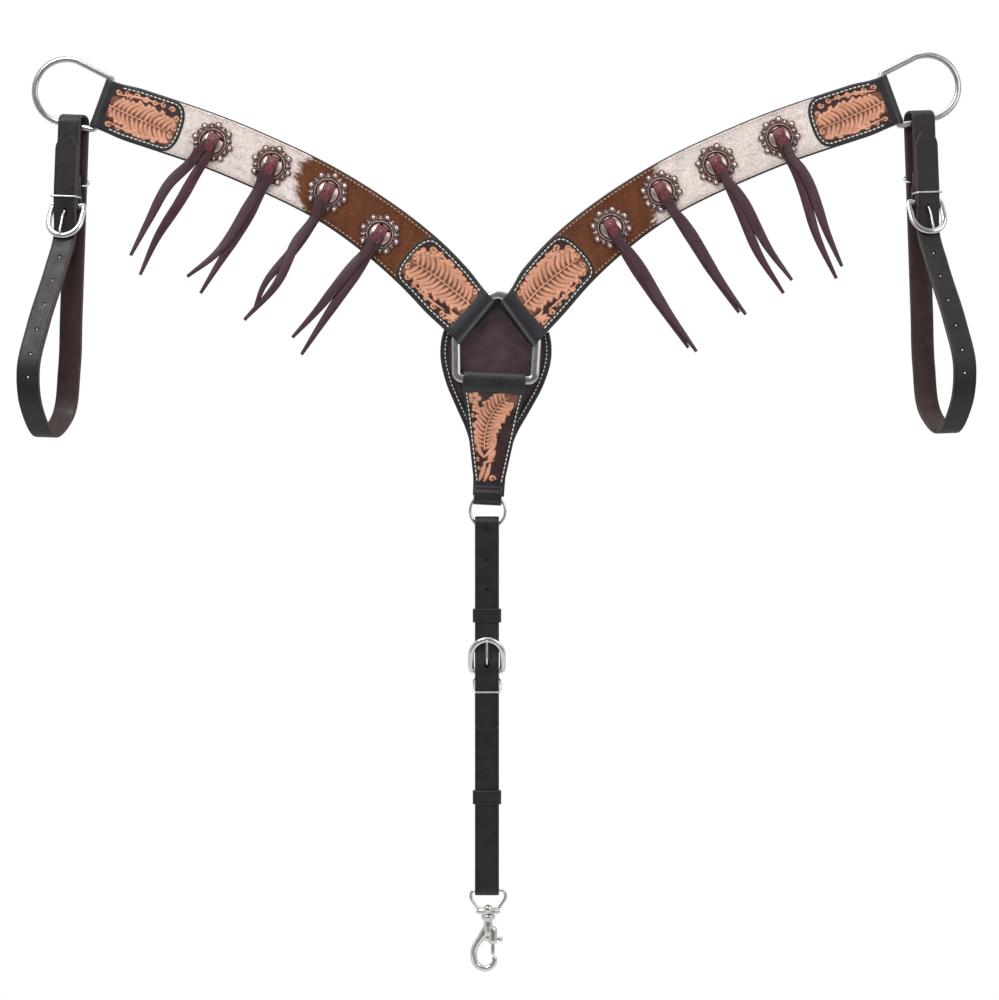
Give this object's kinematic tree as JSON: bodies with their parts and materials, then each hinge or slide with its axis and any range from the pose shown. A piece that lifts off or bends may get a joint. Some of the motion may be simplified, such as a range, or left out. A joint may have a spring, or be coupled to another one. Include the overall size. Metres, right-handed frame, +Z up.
{
  "type": "western breast collar",
  "caption": "Leather breast collar for a horse: two decorated arms and a drop joined by a centre ring, with buckled tug straps and a snap strap for the girth.",
  "frame": {"origin": "middle of the centre dee, on its wire's mid plane", "axes": "+X across the collar from its left arm to its right arm as drawn from the front, +Y back towards the horse, +Z up"},
  "size_m": [0.989, 0.0734, 0.9657],
  "materials": {
    "black_leather": "smooth, slightly worn black leather",
    "strap_leather": "oiled dark brown strap leather",
    "tooled_leather": "carved tan leather on a dark ground",
    "hair_hide": "short hair-on hide, white to brown",
    "latigo": "matt burgundy latigo leather",
    "copper": "antiqued copper",
    "dee_steel": "satin steel",
    "nickel": "nickel plate"
  },
  "bodies": {
    "chest_ring": {"center_dee": "dee_steel"},
    "drop": {"spade_plate": "strap_leather", "drop_patch": "tooled_leather"},
    "lower_ring": {"lower_ring": "nickel"},
    "girth_strap": {"girth_strap": "strap_leather"},
    "girth_keeper_upper": {"girth_keeper_upper": "strap_leather"},
    "girth_keeper_lower": {"girth_keeper_lower": "strap_leather"},
    "girth_buckle_frame": {"girth_buckle_frame": "nickel"},
    "girth_buckle_tongue": {"girth_buckle_tongue": "nickel"},
    "girth_wire_keeper": {"girth_wire_keeper": "nickel"},
    "snap_eye": {"snap_swivel_eye": "nickel"},
    "snap_hook": {"snap_hook": "nickel", "snap_spring": "nickel"},
    "snap_bolt": {"snap_bolt": "nickel"},
    "left_arm": {"left_arm_base": "black_leather", "left_hide_overlay": "hair_hide", "left_inner_patch": "tooled_leather", "left_outer_patch": "tooled_leather", "left_concho_1": "copper", "left_concho_2": "copper", "left_concho_3": "copper", "left_concho_4": "copper"},
    "left_outer_dee": {"left_outer_dee": "dee_steel"},
    "left_tug_strap": {"left_tug_strap": "strap_leather"},
    "left_tug_frame": {"left_tug_buckle_frame": "nickel"},
    "left_tug_tongue": {"left_tug_buckle_tongue": "nickel"},
    "left_tug_front_keeper": {"left_tug_front_keeper": "nickel"},
    "left_tug_rear_keeper": {"left_tug_rear_keeper": "nickel"},
    "left_string_1": {"left_string_1": "latigo"},
    "left_string_2": {"left_string_2": "latigo"},
    "left_string_3": {"left_string_3": "latigo"},
    "left_string_4": {"left_string_4": "latigo"},
    "right_arm": {"right_arm_base": "black_leather", "right_hide_overlay": "hair_hide", "right_inner_patch": "tooled_leather", "right_outer_patch": "tooled_leather", "right_concho_1": "copper", "right_concho_2": "copper", "right_concho_3": "copper", "right_concho_4": "copper"},
    "right_outer_dee": {"right_outer_dee": "dee_steel"},
    "right_tug_strap": {"right_tug_strap": "strap_leather"},
    "right_tug_frame": {"right_tug_buckle_frame": "nickel"},
    "right_tug_tongue": {"right_tug_buckle_tongue": "nickel"},
    "right_tug_front_keeper": {"right_tug_front_keeper": "nickel"},
    "right_tug_rear_keeper": {"right_tug_rear_keeper": "nickel"},
    "right_string_1": {"right_string_1": "latigo"},
    "right_string_2": {"right_string_2": "latigo"},
    "right_string_3": {"right_string_3": "latigo"},
    "right_string_4": {"right_string_4": "latigo"}
  },
  "joints": [
    {"name": "drop_hinge", "type": "hinge", "parent": "chest_ring", "child": "drop", "pos_m": [-0.00217, 0, -0.04144], "axis": [-0.9986, 0, 0.0523], "range_deg": [0, 60]},
    {"name": "lower_ring_hinge", "type": "hinge", "parent": "drop", "child": "lower_ring", "pos_m": [-0.0093, 0, -0.1665], "axis": [-1, 0, 0], "range_deg": [-20, 30]},
    {"name": "girth_hinge", "type": "hinge", "parent": "lower_ring", "child": "girth_strap", "pos_m": [-0.01, 0, -0.1925], "axis": [-1, 0, 0], "range_deg": [-25, 25]},
    {"name": "girth_keeper_upper_slide", "type": "slide", "parent": "girth_strap", "child": "girth_keeper_upper", "axis": [0, 0, 1], "range_m": [0, 0.018]},
    {"name": "girth_keeper_lower_slide", "type": "slide", "parent": "girth_strap", "child": "girth_keeper_lower", "axis": [0, 0, 1], "range_m": [-0.03, 0.03]},
    {"name": "girth_buckle_hinge", "type": "hinge", "parent": "girth_strap", "child": "girth_buckle_frame", "pos_m": [-0.01, -0.0018, -0.3475], "axis": [1, 0, 0], "range_deg": [0, 6]},
    {"name": "girth_tongue_hinge", "type": "hinge", "parent": "girth_buckle_frame", "child": "girth_buckle_tongue", "pos_m": [-0.01, -0.0018, -0.3475], "axis": [1, 0, 0], "range_deg": [0, 5]},
    {"name": "girth_wire_keeper_hinge", "type": "hinge", "parent": "girth_strap", "child": "girth_wire_keeper", "pos_m": [-0.01, -0.0016, -0.3553], "axis": [-1, 0, 0], "range_deg": [0, 12]},
    {"name": "snap_eye_hinge", "type": "hinge", "parent": "girth_strap", "child": "snap_eye", "pos_m": [-0.0088, 0, -0.578], "axis": [-1, 0, 0], "range_deg": [-25, 25]},
    {"name": "snap_swivel", "type": "hinge", "parent": "snap_eye", "child": "snap_hook", "pos_m": [-0.0088, 0, -0.6031], "axis": [0, 0, 1], "continuous": true},
    {"name": "snap_bolt_slide", "type": "slide", "parent": "snap_hook", "child": "snap_bolt", "axis": [0, 0, 1], "range_m": [0, 0.005], "stiffness_N_per_m": 150, "springref_m": -0.006, "deforming": ["snap_spring"]},
    {"name": "left_arm_hinge", "type": "hinge", "parent": "chest_ring", "child": "left_arm", "pos_m": [-0.02575, 0, 0.02369], "axis": [-0.6322, 0, -0.7748], "range_deg": [-30, 60]},
    {"name": "left_outer_dee_hinge", "type": "hinge", "parent": "left_arm", "child": "left_outer_dee", "pos_m": [-0.4121, 0, 0.247], "axis": [-0.342, 0, -0.9397], "range_deg": [-40, 40]},
    {"name": "left_tug_hinge", "type": "hinge", "parent": "left_outer_dee", "child": "left_tug_strap", "pos_m": [-0.44393, 0, 0.22533], "axis": [-0.9994, 0, 0.0349], "range_deg": [-20, 20]},
    {"name": "left_tug_buckle_hinge", "type": "hinge", "parent": "left_tug_strap", "child": "left_tug_frame", "pos_m": [-0.44864, -0.0037, 0.14144], "axis": [-0.9994, 0, 0.0349], "range_deg": [0, 6]},
    {"name": "left_tug_tongue_hinge", "type": "hinge", "parent": "left_tug_frame", "child": "left_tug_tongue", "pos_m": [-0.44864, -0.0037, 0.14144], "axis": [-0.9994, 0, 0.0349], "range_deg": [0, 5]},
    {"name": "left_front_keeper_hinge", "type": "hinge", "parent": "left_tug_strap", "child": "left_tug_front_keeper", "pos_m": [-0.44866, -0.0043, 0.14905], "axis": [-0.9994, 0, 0.0349], "range_deg": [-8, 8]},
    {"name": "left_rear_keeper_hinge", "type": "hinge", "parent": "left_tug_strap", "child": "left_tug_rear_keeper", "pos_m": [-0.44267, 0.007, 0.16525], "axis": [-0.9994, 0, 0.0349], "range_deg": [-6, 6]},
    {"name": "left_string_1_hinge", "type": "hinge", "parent": "left_arm", "child": "left_string_1", "pos_m": [-0.29556, -0.0124, 0.21028], "axis": [-0.8452, 0, 0.5345], "range_deg": [0, 80]},
    {"name": "left_string_2_hinge", "type": "hinge", "parent": "left_arm", "child": "left_string_2", "pos_m": [-0.23354, -0.0124, 0.18607], "axis": [-0.8416, 0, 0.54], "range_deg": [0, 80]},
    {"name": "left_string_3_hinge", "type": "hinge", "parent": "left_arm", "child": "left_string_3", "pos_m": [-0.17464, -0.0124, 0.1577], "axis": [-0.8244, 0, 0.566], "range_deg": [0, 80]},
    {"name": "left_string_4_hinge", "type": "hinge", "parent": "left_arm", "child": "left_string_4", "pos_m": [-0.11992, -0.0124, 0.11352], "axis": [-0.804, 0, 0.5947], "range_deg": [0, 80]},
    {"name": "right_arm_hinge", "type": "hinge", "parent": "chest_ring", "child": "right_arm", "pos_m": [0.02695, 0, 0.0223], "axis": [-0.5907, 0, 0.8069], "range_deg": [-30, 60]},
    {"name": "right_outer_dee_hinge", "type": "hinge", "parent": "right_arm", "child": "right_outer_dee", "pos_m": [0.4121, 0, 0.2512], "axis": [-0.342, 0, 0.9397], "range_deg": [-40, 40]},
    {"name": "right_tug_hinge", "type": "hinge", "parent": "right_outer_dee", "child": "right_tug_strap", "pos_m": [0.44393, 0, 0.22953], "axis": [-0.9994, 0, -0.0349], "range_deg": [-20, 20]},
    {"name": "right_tug_buckle_hinge", "type": "hinge", "parent": "right_tug_strap", "child": "right_tug_frame", "pos_m": [0.44864, -0.0037, 0.14564], "axis": [-0.9994, 0, -0.0349], "range_deg": [0, 6]},
    {"name": "right_tug_tongue_hinge", "type": "hinge", "parent": "right_tug_frame", "child": "right_tug_tongue", "pos_m": [0.44864, -0.0037, 0.14564], "axis": [-0.9994, 0, -0.0349], "range_deg": [0, 5]},
    {"name": "right_front_keeper_hinge", "type": "hinge", "parent": "right_tug_strap", "child": "right_tug_front_keeper", "pos_m": [0.44866, -0.0043, 0.15325], "axis": [-0.9994, 0, -0.0349], "range_deg": [-8, 8]},
    {"name": "right_rear_keeper_hinge", "type": "hinge", "parent": "right_tug_strap", "child": "right_tug_rear_keeper", "pos_m": [0.44267, 0.007, 0.16945], "axis": [-0.9994, 0, -0.0349], "range_deg": [-6, 6]},
    {"name": "right_string_1_hinge", "type": "hinge", "parent": "right_arm", "child": "right_string_1", "pos_m": [0.29499, -0.0124, 0.21576], "axis": [-0.9157, 0, -0.4018], "range_deg": [0, 80]},
    {"name": "right_string_2_hinge", "type": "hinge", "parent": "right_arm", "child": "right_string_2", "pos_m": [0.2285, -0.0124, 0.18726], "axis": [-0.8655, 0, -0.5008], "range_deg": [0, 80]},
    {"name": "right_string_3_hinge", "type": "hinge", "parent": "right_arm", "child": "right_string_3", "pos_m": [0.1705, -0.0124, 0.15874], "axis": [-0.8344, 0, -0.5512], "range_deg": [0, 80]},
    {"name": "right_string_4_hinge", "type": "hinge", "parent": "right_arm", "child": "right_string_4", "pos_m": [0.11801, -0.0124, 0.12094], "axis": [-0.8363, 0, -0.5482], "range_deg": [0, 80]}
  ]
}
